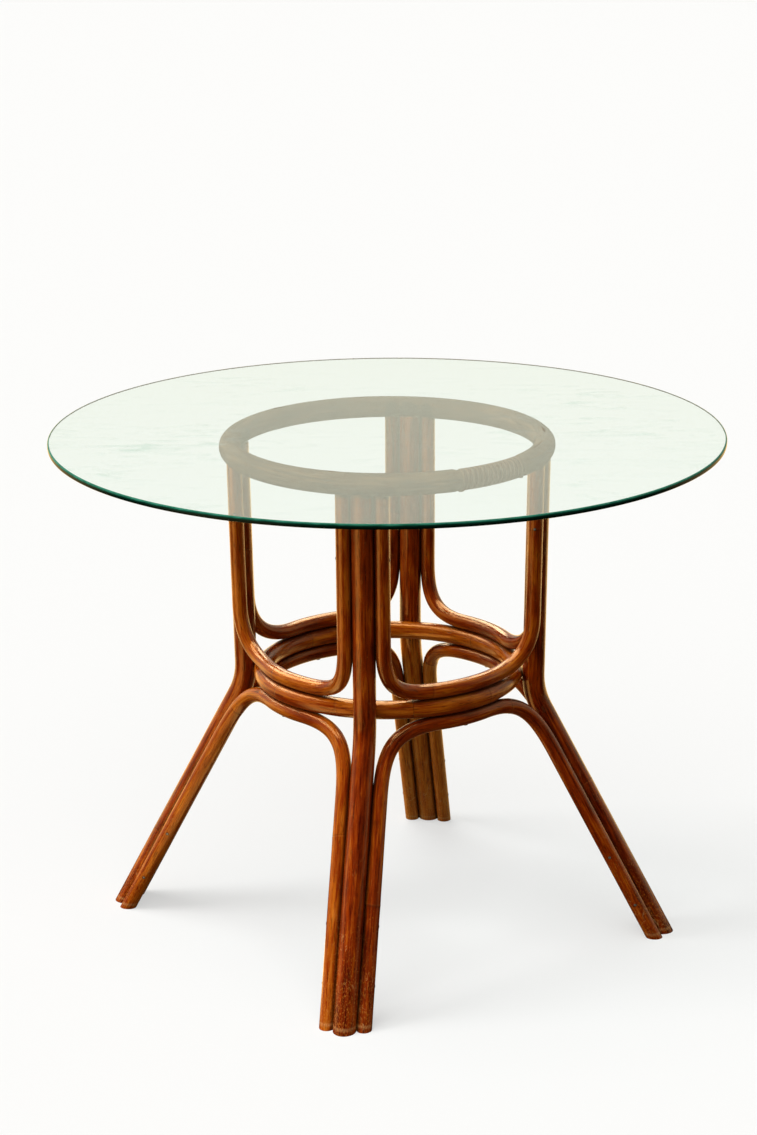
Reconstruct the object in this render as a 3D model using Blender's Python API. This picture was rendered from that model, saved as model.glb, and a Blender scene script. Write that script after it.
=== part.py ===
"""Round rattan table: a loose glass disc on a base of bent rattan poles.

Four splayed leg poles carry a top ring and bear on a hoop at their waist. Between each pair of
legs an upper loop lies on the hoop and rises beside the legs to the ring, and a lower loop hangs
under the hoop and runs down beside the legs to the floor. The ring's scarf joint is bound with
rattan peel. Metres, +Z up, origin on the floor under the middle of the glass.
"""

import math

import bmesh
import bpy
from mathutils import Matrix, Vector
from mathutils.geometry import interpolate_bezier

# Glass top
GLASS_DIAMETER = 1.000
GLASS_THICKNESS = 0.008
GLASS_EDGE_ROUND = 0.0025
TABLE_HEIGHT = 0.772

# Ring and hoop, radii at the middle of the pole
TOP_RING_RADIUS = 0.2326
TOP_RING_POLE = 0.032
HOOP_RADIUS = 0.190
HOOP_POLE = 0.027
HOOP_HEIGHT = 0.4035

# Leg poles
LEG_COUNT = 4
FIRST_LEG_ANGLE = math.radians(-135)
LEG_POLE = 0.033
LEG_TOP_INSET = 0.0061
LEG_FOOT_RADIUS = 0.419
LEG_BEND_RADIUS = 0.110
COPE_DEPTH = 0.004
FOOT_EASE = 0.003

# Loops: rise and reach of a bend are measured from the run along the hoop and from the leg, and
# the tuck is how far round the leg the lower loops lie, towards its inner side
LOOP_POLE = 0.022
UPPER_BEND_RISE = 0.078
UPPER_BEND_REACH = 0.0995
LOWER_BEND_RISE = 0.088
LOWER_BEND_REACH = 0.1095
LOWER_TUCK = math.radians(15)
BEND_FULLNESS = 0.5

# Scarf joint of the top ring and its binding of flat peel
BINDING_ANGLE = math.radians(-86)
BINDING_TURNS = 14
PEEL_WIDTH = 0.0074
PEEL_THICKNESS = 0.0014
PEEL_ROUNDING = 0.0012
PEEL_SPACING = 0.0006
PEEL_TAIL = 0.0074
SCARF_LENGTH = 0.090
PARED_MARGIN = 0.0012
PARED_SHOULDER = 0.002

# Nails through the loops into the legs
NAIL_SHANK = 0.0032
NAIL_HEAD = 0.0068
NAIL_HEAD_HEIGHT = 0.0016
NAIL_BITE = 0.012
FOOT_NAIL_HEIGHTS = (0.055, 0.130)
UPPER_NAIL_DROP = 0.090

# Screws that clamp lower loop, hoop and upper loop together
SCREW_SHANK = 0.0044
SCREW_HEAD = 0.0090
SCREW_HEAD_HEIGHT = 0.0024
SCREW_BITE = 0.012

# Hidden steel pins between leg and ring and between leg and hoop
PIN_DIAMETER = 0.006
PIN_CHAMFER = 0.0008
PIN_BITE = 0.016

# Clearance between pieces that touch
FIT = 0.0003

# Mesh fineness
GLASS_STEPS = 72
EDGE_STEPS = 2
RING_STEPS = 44
PARED_STEPS = 8
HOOP_STEPS = 48
POLE_BEVEL_RESOLUTION = 4
LEG_BEND_STEPS = 6
LOOP_BEND_STEPS = 7
LOOP_RUN_STEPS = 6
WINDING_STEPS = 24
FASTENER_STEPS = 6
SHARP_ANGLE = math.radians(40)
WELD = 1e-6

GLASS_BOTTOM = TABLE_HEIGHT - GLASS_THICKNESS
TOP_RING_HEIGHT = GLASS_BOTTOM - FIT - TOP_RING_POLE / 2
TOP_RING_BOTTOM = TOP_RING_HEIGHT - TOP_RING_POLE / 2
WAIST_RADIUS = HOOP_RADIUS + HOOP_POLE / 2 + FIT + LEG_POLE / 2
FLANK = LEG_POLE / 2 + FIT + LOOP_POLE / 2
RUN_OFFSET = HOOP_POLE / 2 + FIT + LOOP_POLE / 2
POLE_TOP = TOP_RING_BOTTOM + COPE_DEPTH
LEG_STEP = math.tau / LEG_COUNT
PEEL_PITCH = PEEL_WIDTH + PEEL_SPACING
PARED_DEPTH = FIT + PEEL_THICKNESS + FIT
PARED_LENGTH = BINDING_TURNS * PEEL_PITCH + PEEL_WIDTH + 2 * PARED_MARGIN
NAIL_LENGTH = FIT + LOOP_POLE + FIT + NAIL_BITE
SCREW_LENGTH = FIT + LOOP_POLE + FIT + HOOP_POLE + FIT + SCREW_BITE


def outward(angle):
    return Vector((math.cos(angle), math.sin(angle), 0))


def sideways(angle):
    return Vector((-math.sin(angle), math.cos(angle), 0))


def up(height):
    return Vector((0, 0, height))


def leg_angle(index):
    return FIRST_LEG_ANGLE + index * LEG_STEP


def finish(name, colour, roughness, metallic=0.0, transmission=0.0):
    material = bpy.data.materials.new(name)
    material.use_nodes = True
    shader = material.node_tree.nodes["Principled BSDF"]
    shader.inputs["Base Color"].default_value = (*colour, 1)
    shader.inputs["Roughness"].default_value = roughness
    shader.inputs["Metallic"].default_value = metallic
    shader.inputs["Transmission Weight"].default_value = transmission
    return material


def mesh_from(bm, name):
    bmesh.ops.remove_doubles(bm, verts=bm.verts, dist=WELD)
    bmesh.ops.recalc_face_normals(bm, faces=bm.faces)
    mesh = bpy.data.meshes.new(name)
    bm.to_mesh(mesh)
    bm.free()
    return mesh


def piece(name, mesh, material, parent=None):
    thing = bpy.data.objects.new(name, mesh)
    bpy.context.scene.collection.objects.link(thing)
    thing.data.materials.append(material)
    thing.data.shade_smooth()
    thing.data.set_sharp_from_angle(angle=SHARP_ANGLE)
    thing.parent = parent
    return thing


def cutter(name, mesh):
    thing = bpy.data.objects.new(name, mesh)
    bpy.context.scene.collection.objects.link(thing)
    thing.hide_render = True
    thing.display_type = "WIRE"
    return thing


def cut(thing, tool):
    difference = thing.modifiers.new(tool.name, "BOOLEAN")
    difference.operation = "DIFFERENCE"
    difference.solver = "EXACT"
    difference.object = tool


def quarter_round(radius, height, reach, rise):
    """Outline points of a quarter round about (radius, height), from its crown out to its side."""
    turns = [math.pi / 2 * step / EDGE_STEPS for step in range(EDGE_STEPS + 1)]
    return [(radius + reach * math.sin(turn), height + rise * math.cos(turn)) for turn in turns]


def turned(outline, steps, name):
    """A closed turned solid from (radius, height) points that start and end on the Z axis."""
    bm = bmesh.new()
    corners = [bm.verts.new((radius, 0, height)) for radius, height in outline]
    line = [bm.edges.new(pair) for pair in zip(corners, corners[1:])]
    bmesh.ops.spin(bm, geom=corners + line, cent=(0, 0, 0), axis=(0, 0, 1), angle=math.tau,
                   steps=steps, use_merge=True)
    return mesh_from(bm, name)


def bent_pole(name, places, diameter, radii=None, closed=False):
    """A pole swept along its centreline; radii scales its thickness from place to place."""
    path = bpy.data.curves.new(name + "_path", "CURVE")
    path.dimensions = "3D"
    path.bevel_depth = diameter / 2
    path.bevel_resolution = POLE_BEVEL_RESOLUTION
    path.use_fill_caps = not closed
    spline = path.splines.new("POLY")
    spline.points.add(len(places) - 1)
    spline.use_cyclic_u = closed
    for point, place, radius in zip(spline.points, places, radii or [1] * len(places)):
        point.co = (*place, 1)
        point.radius = radius
    holder = bpy.data.objects.new(name + "_path", path)
    swept = bpy.data.meshes.new_from_object(holder)
    bpy.data.objects.remove(holder)
    bm = bmesh.new()
    bm.from_mesh(swept)
    return mesh_from(bm, name)


def cut_feet(mesh):
    """Cuts a mesh level with the floor and eases the new edges."""
    bm = bmesh.new()
    bm.from_mesh(mesh)
    everything = bm.verts[:] + bm.edges[:] + bm.faces[:]
    bmesh.ops.bisect_plane(bm, geom=everything, plane_co=(0, 0, 0), plane_no=(0, 0, -1), clear_outer=True)
    rim = [edge for edge in bm.edges if edge.is_boundary]
    soles = bmesh.ops.holes_fill(bm, edges=rim)["faces"]
    edges = {edge for face in soles for edge in face.edges}
    bmesh.ops.bevel(bm, geom=list(edges), offset=FOOT_EASE, offset_type="OFFSET", affect="EDGES",
                    segments=1, profile=0.5, material=-1)
    bmesh.ops.recalc_face_normals(bm, faces=bm.faces)
    bm.to_mesh(mesh)
    bm.free()


def leg_line():
    """Radius and height along a leg: straight down from the ring, round the bend that bears on the
    hoop, and straight on through the floor, where the foot is cut off."""
    middle = Vector((WAIST_RADIUS + LEG_BEND_RADIUS, HOOP_HEIGHT))
    top = Vector((TOP_RING_RADIUS - LEG_TOP_INSET, POLE_TOP))
    foot = Vector((LEG_FOOT_RADIUS, 0))

    def touching_angle(end, turn):
        away = end - middle
        return math.atan2(away.y, away.x) % math.tau + turn * math.acos(LEG_BEND_RADIUS / away.length)

    start = touching_angle(top, 1)
    stop = touching_angle(foot, -1)
    line = [top]
    for step in range(LEG_BEND_STEPS + 1):
        angle = start + (stop - start) * step / LEG_BEND_STEPS
        line.append(middle + LEG_BEND_RADIUS * Vector((math.cos(angle), math.sin(angle))))
    return line + [foot + (foot - line[-1]).normalized() * LEG_POLE]


LEG_LINE = leg_line()
LEG_SHIN = LEG_LINE[-1] - LEG_LINE[-2]
LEG_SLANT = LEG_SHIN.length / -LEG_SHIN.y


def leg_radius(height):
    """Distance of a leg's centreline from the table's axis at a height."""
    stretches = zip(LEG_LINE, LEG_LINE[1:])
    above, below = next(stretch for stretch in stretches if height >= stretch[1].y)
    share = (above.y - height) / (above.y - below.y)
    return above.x + (below.x - above.x) * share


def flank_place(angle, side, height, tuck):
    """Centre of the loop pole that runs beside the leg at this angle, set round the leg by the tuck."""
    inward = FLANK * math.sin(tuck) * LEG_SLANT
    across = FLANK * math.cos(tuck) * side
    return outward(angle) * (leg_radius(height) - inward) + sideways(angle) * across + up(height)


def half_loop(angle, side, ends, tuck, run_height, reach):
    """Centreline of a loop from the free end beside a leg to where its run on the hoop begins."""
    upright = [flank_place(angle, side, height, tuck) for height in ends]
    run_angle = angle + side * reach / HOOP_RADIUS
    run_start = outward(run_angle) * HOOP_RADIUS + up(run_height)
    handle = BEND_FULLNESS * (run_start - upright[-1]).length
    leaving = upright[-1] + (upright[-1] - upright[-2]).normalized() * handle
    arriving = run_start - sideways(run_angle) * side * handle
    bend = interpolate_bezier(upright[-1], leaving, arriving, run_start, LOOP_BEND_STEPS + 1)
    return upright[:-1] + bend


def loop_line(index, ends, tuck, run_height, reach):
    """Centreline of the loop between a leg and the next one."""
    first = leg_angle(index)
    second = leg_angle(index + 1)
    start = first + reach / HOOP_RADIUS
    stop = second - reach / HOOP_RADIUS
    run = []
    for step in range(1, LOOP_RUN_STEPS):
        angle = start + (stop - start) * step / LOOP_RUN_STEPS
        run.append(outward(angle) * HOOP_RADIUS + up(run_height))
    going = half_loop(first, 1, ends, tuck, run_height, reach)
    coming = half_loop(second, -1, ends, tuck, run_height, reach)
    return going + run + coming[::-1]


def upper_loop_line(index):
    run_height = HOOP_HEIGHT + RUN_OFFSET
    ends = [POLE_TOP, run_height + UPPER_BEND_RISE]
    return loop_line(index, ends, 0, run_height, UPPER_BEND_REACH)


def lower_loop_line(index):
    run_height = HOOP_HEIGHT - RUN_OFFSET
    bend_height = run_height - LOWER_BEND_RISE
    ends = [place.y for place in reversed(LEG_LINE) if place.y < bend_height]
    return loop_line(index, ends + [bend_height], LOWER_TUCK, run_height, LOWER_BEND_REACH)


def glass_mesh():
    rim = GLASS_DIAMETER / 2
    ease = min(GLASS_EDGE_ROUND, GLASS_THICKNESS / 2)
    upper_edge = quarter_round(rim - ease, GLASS_THICKNESS - ease, ease, ease)
    lower_edge = quarter_round(rim - ease, ease, ease, -ease)
    outline = [(0, GLASS_THICKNESS)] + upper_edge + lower_edge[::-1] + [(0, 0)]
    return turned(outline, GLASS_STEPS, "glass_top")


def top_ring_mesh(name, extra):
    """The top ring, thinned under its binding; extra widens it all over."""
    half = PARED_LENGTH / 2 / TOP_RING_RADIUS
    shoulder = PARED_SHOULDER / TOP_RING_RADIUS
    full = TOP_RING_POLE / 2 + extra
    pared = 1 - PARED_DEPTH / full
    places = []
    radii = []
    for step in range(RING_STEPS + 1):
        angle = half + shoulder + (math.tau - 2 * half - 2 * shoulder) * step / RING_STEPS
        places.append(outward(BINDING_ANGLE + angle) * TOP_RING_RADIUS + up(TOP_RING_HEIGHT))
        radii.append(1)
    for step in range(PARED_STEPS + 1):
        angle = -half + 2 * half * step / PARED_STEPS
        places.append(outward(BINDING_ANGLE + angle) * TOP_RING_RADIUS + up(TOP_RING_HEIGHT))
        radii.append(pared)
    return bent_pole(name, places, 2 * full, radii, closed=True)


def scarf_mesh():
    """A thin slanting slab that parts the ring's two ends under the binding."""
    slope = math.atan2(TOP_RING_POLE, SCARF_LENGTH)
    bm = bmesh.new()
    bmesh.ops.create_cube(bm, size=1)
    length = 2 * math.hypot(TOP_RING_POLE, SCARF_LENGTH)
    bmesh.ops.scale(bm, vec=(2 * TOP_RING_POLE, length, FIT), verts=bm.verts)
    place = Matrix.Translation(outward(BINDING_ANGLE) * TOP_RING_RADIUS + up(TOP_RING_HEIGHT))
    turn = Matrix.Rotation(BINDING_ANGLE, 4, "Z") @ Matrix.Rotation(slope, 4, "X")
    bmesh.ops.transform(bm, matrix=place @ turn, verts=bm.verts)
    return mesh_from(bm, "scarf_cut")


def binding_mesh():
    """One unbroken flat peel wound round the pared ring, its tails at the underside."""
    low = TOP_RING_POLE / 2 - PARED_DEPTH + FIT
    waist = low + PEEL_THICKNESS / 2
    high = low + PEEL_THICKNESS
    half = PEEL_WIDTH / 2
    flat = half - PEEL_ROUNDING
    section = [(-half, waist), (-flat, high), (flat, high), (half, waist), (flat, low), (-flat, low)]
    wound_length = BINDING_TURNS * PEEL_PITCH

    # Wound along a straight axis, starting at the underside
    bm = bmesh.new()
    corners = [bm.verts.new((along, 0, -out)) for along, out in section]
    loop = [bm.edges.new((corners[i - 1], corners[i])) for i in range(len(corners))]
    start = bm.faces.new(corners)
    wound = bmesh.ops.spin(bm, geom=corners + loop, cent=(0, 0, 0), axis=(1, 0, 0),
                           dvec=(PEEL_PITCH / WINDING_STEPS, 0, 0), angle=BINDING_TURNS * math.tau,
                           steps=BINDING_TURNS * WINDING_STEPS)
    last = [thing for thing in wound["geom_last"] if isinstance(thing, bmesh.types.BMVert)]
    stop = bmesh.ops.contextual_create(bm, geom=last)["faces"][0]
    turns = [vert.co.copy() for vert in bm.verts]
    for end, away in ((start, -1), (stop, 1)):
        tail = bmesh.ops.extrude_discrete_faces(bm, faces=[end])["faces"][0]
        bmesh.ops.translate(bm, vec=(0, away * PEEL_TAIL, 0), verts=tail.verts)

    # Bent onto the ring
    def on_ring(place):
        angle = BINDING_ANGLE + (place.x - wound_length / 2) / TOP_RING_RADIUS
        return outward(angle) * (TOP_RING_RADIUS + place.y) + up(TOP_RING_HEIGHT + place.z)

    for vert in bm.verts:
        vert.co = on_ring(vert.co)
    turns = [on_ring(place) for place in turns]
    around = WINDING_STEPS * len(section)
    gaps = [(turns[i] - turns[j + around]).length
            for first in range(0, len(turns) - around, len(section))
            for i in range(first, first + len(section))
            for j in range(first, first + len(section))]
    print(f"least gap between the turns of the binding: {1000 * min(gaps):.2f} mm")
    return mesh_from(bm, "top_ring_binding")


def hoop_mesh():
    angles = [math.tau * step / HOOP_STEPS for step in range(HOOP_STEPS)]
    circle = [outward(angle) * HOOP_RADIUS + up(HOOP_HEIGHT) for angle in angles]
    return bent_pole("middle_hoop", circle, HOOP_POLE, closed=True)


def headed_outline(shank, head, head_height, length):
    """Half outline of a nail or screw: low domed head above zero, shank and point below."""
    dome = quarter_round(0, 0, head / 2, head_height)
    return dome + [(shank / 2, 0), (shank / 2, shank - length), (0, -length)]


def pin_outline():
    side = PIN_DIAMETER / 2
    return [(0, PIN_BITE), (side - PIN_CHAMFER, PIN_BITE), (side, PIN_BITE - PIN_CHAMFER),
            (side, PIN_CHAMFER - PIN_BITE), (side - PIN_CHAMFER, -PIN_BITE), (0, -PIN_BITE)]


def bore_outline(diameter, top, bottom):
    side = diameter / 2 + FIT
    return [(0, top), (side, top), (side, bottom), (0, bottom)]


def aimed(place, direction):
    """Puts a fastener's zero point at a place with its head, or its upper end, in a direction."""
    return Matrix.Translation(place) @ direction.to_track_quat("Z", "Y").to_matrix().to_4x4()


def nail_places():
    """Name and placing of every nail: two near each foot and one under the ring, on both flanks."""
    spots = [(f"foot_nail_{{}}{number + 1}", height, LOWER_TUCK)
             for number, height in enumerate(FOOT_NAIL_HEIGHTS)]
    spots.append(("upper_nail_{}", TOP_RING_BOTTOM - UPPER_NAIL_DROP, 0))
    for index in range(LEG_COUNT):
        angle = leg_angle(index)
        for side, hand in ((1, "a"), (-1, "b")):
            away = sideways(angle) * side
            for name, height, tuck in spots:
                seat = flank_place(angle, side, height, tuck) + away * (LOOP_POLE / 2 + FIT)
                yield name.format(f"{index + 1}{hand}"), aimed(seat, away)


def screw_places():
    """One screw up through the middle of each lower loop."""
    seat = HOOP_HEIGHT - RUN_OFFSET - LOOP_POLE / 2 - FIT
    for index in range(LEG_COUNT):
        middle = outward(leg_angle(index) + LEG_STEP / 2) * HOOP_RADIUS
        yield f"loop_screw_{index + 1}", aimed(middle + up(seat), up(-1))


def pin_places():
    """A pin from each leg up into the ring, and one from each leg into the hoop."""
    contact = HOOP_RADIUS + HOOP_POLE / 2 + FIT / 2
    for index in range(LEG_COUNT):
        away = outward(leg_angle(index))
        yield f"ring_pin_{index + 1}", aimed(away * TOP_RING_RADIUS + up(TOP_RING_BOTTOM), up(1))
        yield f"hoop_pin_{index + 1}", aimed(away * contact + up(HOOP_HEIGHT), away)


def fasteners(steel, base):
    """Makes every nail, screw and pin, and a cutter that holds all their bores."""
    nail = headed_outline(NAIL_SHANK, NAIL_HEAD, NAIL_HEAD_HEIGHT, NAIL_LENGTH)
    nail_bore = bore_outline(NAIL_SHANK, NAIL_HEAD, -NAIL_LENGTH - FIT)
    screw = headed_outline(SCREW_SHANK, SCREW_HEAD, SCREW_HEAD_HEIGHT, SCREW_LENGTH)
    screw_bore = bore_outline(SCREW_SHANK, SCREW_HEAD, -SCREW_LENGTH - FIT)
    pin_bore = bore_outline(PIN_DIAMETER, PIN_BITE + FIT, -PIN_BITE - FIT)
    kinds = [(nail, nail_bore, nail_places()), (screw, screw_bore, screw_places()),
             (pin_outline(), pin_bore, pin_places())]
    bores = bmesh.new()
    for outline, bore_shape, places in kinds:
        for name, place in places:
            thing = piece(name, turned(outline, FASTENER_STEPS, name), steel, base)
            thing.matrix_world = place
            bore = turned(bore_shape, FASTENER_STEPS, name + "_bore")
            bore.transform(place)
            bores.from_mesh(bore)
    return cutter("fastener_bores", mesh_from(bores, "fastener_bores"))


def build():
    for thing in list(bpy.data.objects):
        bpy.data.objects.remove(thing)

    glass = finish("clear_glass", (0.80, 0.93, 0.88), 0.03, transmission=0.9)
    ring_rattan = finish("ring_rattan", (0.36, 0.17, 0.06), 0.35)
    leg_rattan = finish("leg_rattan", (0.30, 0.11, 0.03), 0.32)
    loop_rattan = finish("loop_rattan", (0.35, 0.13, 0.035), 0.32)
    peel = finish("rattan_peel", (0.50, 0.30, 0.13), 0.45)
    steel = finish("nail_steel", (0.62, 0.60, 0.57), 0.35, metallic=1.0)

    base = bpy.data.objects.new("base", None)
    bpy.context.scene.collection.objects.link(base)

    # Glass, its origin on the axis along which it lifts
    disc = piece("glass_top", glass_mesh(), glass)
    disc.location = up(GLASS_BOTTOM)

    bore_tool = fasteners(steel, base)
    seat_tool = cutter("ring_seat", top_ring_mesh("ring_seat", FIT))
    scarf_tool = cutter("scarf_cut", scarf_mesh())

    # Top ring, binding and hoop
    ring = piece("top_ring", top_ring_mesh("top_ring", 0), ring_rattan, base)
    cut(ring, scarf_tool)
    cut(ring, bore_tool)
    piece("top_ring_binding", binding_mesh(), peel, base)
    hoop = piece("middle_hoop", hoop_mesh(), loop_rattan, base)
    cut(hoop, bore_tool)

    # Legs and loops
    for index in range(LEG_COUNT):
        label = index + 1
        leg_places = [outward(leg_angle(index)) * place.x + up(place.y) for place in LEG_LINE]
        leg_mesh = bent_pole(f"leg_pole_{label}", leg_places, LEG_POLE)
        upper_mesh = bent_pole(f"upper_loop_{label}", upper_loop_line(index), LOOP_POLE)
        lower_mesh = bent_pole(f"lower_loop_{label}", lower_loop_line(index), LOOP_POLE)
        cut_feet(leg_mesh)
        cut_feet(lower_mesh)
        leg = piece(f"leg_pole_{label}", leg_mesh, leg_rattan, base)
        upper = piece(f"upper_loop_{label}", upper_mesh, loop_rattan, base)
        lower = piece(f"lower_loop_{label}", lower_mesh, loop_rattan, base)
        for thing in (leg, upper):
            cut(thing, seat_tool)
        for thing in (leg, upper, lower):
            cut(thing, bore_tool)


build()
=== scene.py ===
"""Looks of the round rattan table: stained canes with their nodes, fibres and wear, a wound peel
binding, steel nails and a loose glass disc. Metres, +Z up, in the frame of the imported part."""

import bisect
import math
import random

import bmesh
import bpy
from mathutils import Matrix, Vector, kdtree, noise
from mathutils.geometry import interpolate_bezier


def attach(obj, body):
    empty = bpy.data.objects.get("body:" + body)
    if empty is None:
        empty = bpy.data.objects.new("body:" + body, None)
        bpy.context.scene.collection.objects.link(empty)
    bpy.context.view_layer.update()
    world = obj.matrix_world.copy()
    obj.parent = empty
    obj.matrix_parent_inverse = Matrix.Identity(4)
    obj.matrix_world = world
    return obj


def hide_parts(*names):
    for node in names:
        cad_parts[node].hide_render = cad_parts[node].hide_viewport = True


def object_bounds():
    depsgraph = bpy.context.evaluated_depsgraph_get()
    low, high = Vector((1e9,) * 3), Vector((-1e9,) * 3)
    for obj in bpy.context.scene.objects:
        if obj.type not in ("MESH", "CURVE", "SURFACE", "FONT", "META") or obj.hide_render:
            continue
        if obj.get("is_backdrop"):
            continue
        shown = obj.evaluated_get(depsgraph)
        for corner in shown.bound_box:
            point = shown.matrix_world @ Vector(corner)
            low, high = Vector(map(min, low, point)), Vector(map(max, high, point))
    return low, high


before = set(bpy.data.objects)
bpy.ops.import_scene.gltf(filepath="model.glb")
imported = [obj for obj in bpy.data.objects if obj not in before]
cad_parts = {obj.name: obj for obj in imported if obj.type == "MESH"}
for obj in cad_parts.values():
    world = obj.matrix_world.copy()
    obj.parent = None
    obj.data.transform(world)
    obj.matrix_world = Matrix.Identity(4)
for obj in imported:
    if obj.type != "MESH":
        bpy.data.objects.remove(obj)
cad_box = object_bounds()

# Glass top
GLASS_DIAMETER = 1.000
GLASS_THICKNESS = 0.008
GLASS_EDGE_ROUND = 0.0025
GLASS_EDGE_BAND = 0.0006
TABLE_HEIGHT = 0.772

# Ring and hoop, radii at the middle of the cane
TOP_RING_RADIUS = 0.2326
TOP_RING_POLE = 0.032
HOOP_RADIUS = 0.190
HOOP_POLE = 0.027
HOOP_HEIGHT = 0.4035
HOOP_SEAM_ANGLE = math.radians(-115.7)
SEAM_GAP = 0.0003

# Legs
LEG_COUNT = 4
FIRST_LEG_ANGLE = math.radians(-135)
LEG_POLE = 0.033
LEG_TOP_INSET = 0.0061
LEG_FOOT_RADIUS = 0.419
LEG_BEND_RADIUS = 0.110
COPE_DEPTH = 0.004
FOOT_ROUND = 0.0055
FOOT_ROUND_STEPS = 5

# Loops
LOOP_POLE = 0.022
UPPER_BEND_RISE = 0.078
UPPER_BEND_REACH = 0.0995
LOWER_BEND_RISE = 0.088
LOWER_BEND_REACH = 0.1095
LOWER_TUCK = math.radians(15)
BEND_FULLNESS = 0.5

# Binding of flat peel round the ring's scarf joint
BINDING_ANGLE = math.radians(-86)
BINDING_TURNS = 14
PEEL_WIDTH = 0.0074
PEEL_THICKNESS = 0.0014
PEEL_EDGE_SHARE = 0.30
PEEL_FLAT_SHARE = 0.88
PEEL_CROWN_ACROSS = 0.7
PEEL_CROWN_OUT = 0.8
PEEL_SPACING = 0.0006
PEEL_TAIL = 0.0074
KNOT_SWELLING = 0.0018
KNOT_LAP = 0.04
KNOT_LAP_SPREAD = 0.05
PARED_MARGIN = 0.0012

# Nails and screws
NAIL_SHANK = 0.0032
NAIL_HEAD = 0.0050
NAIL_HEAD_HEIGHT = 0.0008
NAIL_BITE = 0.012
FOOT_NAIL_HEIGHTS = (0.055, 0.130)
UPPER_NAIL_DROP = 0.090
RUBBED_NAILS = ("foot_nail_2b1", "foot_nail_2b2")
SCREW_SHANK = 0.0044
SCREW_HEAD = 0.0090
SCREW_HEAD_HEIGHT = 0.0010
SCREW_BITE = 0.012
HEAD_SIDE_SHARE = 0.3
HEAD_UNDERSIDE_SHARE = 0.94

# Clearance between pieces that touch
FIT = 0.0003

# Nodes of a cane: the scar is a low slanting ridge with a groove below it, on a slight swelling
FIRST_NODE = (0.08, 0.24)
NODE_SPACING = (0.36, 0.60)
NODE_SLANT = 0.0016
NODE_RIDGE = 0.00020
NODE_GROOVE = 0.00012
NODE_LINE_WIDTH = 0.0009
NODE_GROOVE_DROP = 0.0022
NODE_SWELLING = 0.00020
NODE_SWELLING_REACH = 0.012
RIDGE_MARK_WIDTH = 0.0011
GROOVE_MARK_WIDTH = 0.0012

# Unevenness of a cane, and how much fuller it is than half the clearance, so that no light shows between
CANE_UNEVENNESS = 0.00016
UNEVENNESS_RATE = 12
FULLNESS = 0.00012
SNUG = FIT / 2 + FULLNESS

# Steps from cane to cane through the noise patterns, so that no two canes are alike
UNEVENNESS_STEP = 7
GRAIN_STEP = 3

# Nodes and tones of canes as seen: distances along the cane, and the tone of each length between nodes
SEEN_NODES = {
    "lower_loop_1": (0.2106, 0.665),
    "lower_loop_4": (0.42, 0.84),
    "upper_loop_1": (0.36, 0.74),
    "upper_loop_4": (0.10, 0.40),
    "leg_pole_1": (0.02,),
    "leg_pole_2": (0.02, 0.52),
    "leg_pole_3": (0.335,),
    "lower_loop_2": (0.36, 0.72),
    "lower_loop_3": (0.36, 0.72),
}
# Tones set for the seen canes, some of them painted light and shade: the hoop's lengths and the back foot's
# lengths are lightened as painted light, and the right leg's pole is darkened as painted shade.
SEEN_TONES_AND_PAINTED_LIGHT = {
    "middle_hoop": (0.90, 0.95, 0.95, 0.75, 0.75, 0.90),
    "leg_pole_1": (0.35,),
    "leg_pole_2": (0.10,),
    "leg_pole_3": (0.45, 1.40),
    "leg_pole_4": (0.40,),
    "upper_loop_1": (0.55,),
    "upper_loop_4": (0.90,),
    "lower_loop_1": (0.20, 0.45, 0.35),
    "lower_loop_2": (0.30, 0.55, 1.40),
    "lower_loop_3": (1.40, 0.55, 0.60),
    "lower_loop_4": (0.80, 0.95, 0.80),
}
HOOP_NODE_ANGLES = [math.radians(angle) for angle in (-148.3, -78, 8, 96, 178)]
TONE_MIDDLE = 0.5
TONE_SPREAD = 0.3
# How far from another cane the painted shade and dirt of the crevices reach
CREVICE_REACH = 0.007

# Grain of a cane: scale of each pattern along the cane against across it, and its fineness
FIBRES = (0.05, 1000)
STREAKS = (0.05, 320)
BANDS = (0.25, 60)
PORES = (0.09, 560)
WORN_GRAIN = (0.45, 560)
SCRATCHES = (0.6, 70)
PEEL_LINES = (0.02, 1500)

# Heights at which the canes are worn
FLECKED_HEIGHT = 0.22
SCUFFED_HEIGHTS = (0.02, 0.24)
FOOT_EDGE_HEIGHTS = (0.004, 0.008, 0.011)

# Depth of the fine relief in each finish
CANE_RELIEF = 0.0006
PEEL_RELIEF = 0.0003
STEEL_RELIEF = 0.0002

# Colours, those with stops from dark to light
STAIN = [(0.05, (0.060, 0.0018, 0.0001)), (0.40, (0.245, 0.0240, 0.0006)),
         (0.70, (0.46, 0.100, 0.004)), (1.00, (0.64, 0.190, 0.018))]
DULL_STAIN = [(0.05, (0.020, 0.006, 0.002)), (0.40, (0.075, 0.027, 0.008)),
              (0.70, (0.170, 0.072, 0.024)), (1.00, (0.30, 0.150, 0.060))]
PEEL_STAIN = [(0.35, (0.045, 0.008, 0.002)), (0.62, (0.135, 0.034, 0.010)),
              (0.85, (0.26, 0.090, 0.034))]
TARNISH = [(0.35, (0.020, 0.006, 0.003)), (0.60, (0.060, 0.022, 0.010))]
RIM_GREEN_AND_HIGHLIGHT = [(0.25, (0.0006, 0.0060, 0.0030)), (0.62, (0.0012, 0.016, 0.0085)),
             (0.86, (0.006, 0.075, 0.042)), (1.00, (0.030, 0.17, 0.11))]
PORE_DARK = (0.012, 0.0015, 0.0005)
GROOVE_DARK = (0.015, 0.002, 0.0006)
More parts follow.
